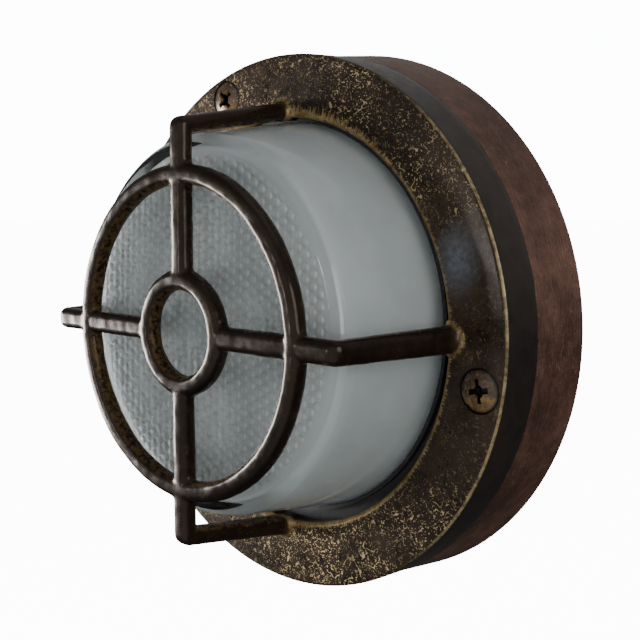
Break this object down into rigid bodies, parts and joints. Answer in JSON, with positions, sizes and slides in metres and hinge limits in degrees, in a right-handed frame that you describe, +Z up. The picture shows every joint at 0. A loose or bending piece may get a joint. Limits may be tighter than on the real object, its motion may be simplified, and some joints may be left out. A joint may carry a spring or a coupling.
{
  "type": "outdoor wall light",
  "caption": "Round outdoor wall light with a cast back housing, a screwed front ring with a crossed guard cage, pressed glass, and the lamp, its holder and wiring inside.",
  "frame": {"origin": "centre of the back face, on the wall", "axes": "+X to the right, +Z up, +Y into the wall; the light faces -Y"},
  "size_m": [0.16, 0.0719, 0.16],
  "materials": {
    "cast_bronze": "weathered cast bronze, dark brown patina",
    "pressed_glass": "frosted pressed glass, dimpled",
    "black_rubber": "matt rubber",
    "brass_screw": "tarnished brass",
    "bright_brass": "bright brass",
    "zinc_steel": "zinc plated",
    "white_enamel": "baked white enamel",
    "porcelain": "glazed porcelain",
    "opal_glass": "opal bulb glass, satin",
    "brown_insulation": "insulation",
    "blue_insulation": "insulation",
    "green_insulation": "insulation"
  },
  "bodies": {
    "root": {"back_housing": "cast_bronze", "guard_bezel": "cast_bronze", "glass": "pressed_glass", "glass_seal": "black_rubber", "bezel_screws": "brass_screw", "cable_grommet": "black_rubber", "gear_tray": "white_enamel", "tray_screws": "zinc_steel", "holder_bracket": "zinc_steel", "bracket_rivets": "zinc_steel", "lampholder": "porcelain", "lampholder_screws": "zinc_steel", "lamp_shell": "bright_brass", "lamp_contact": "bright_brass", "bulb": "opal_glass", "terminal_block": "porcelain", "terminal_barrels": "bright_brass", "terminal_screws": "zinc_steel", "block_screws": "zinc_steel", "earth_screw": "bright_brass", "earth_washer": "zinc_steel", "earth_lug": "bright_brass", "live_lead": "brown_insulation", "neutral_lead": "blue_insulation", "earth_lead": "green_insulation"}
  },
  "joints": []
}
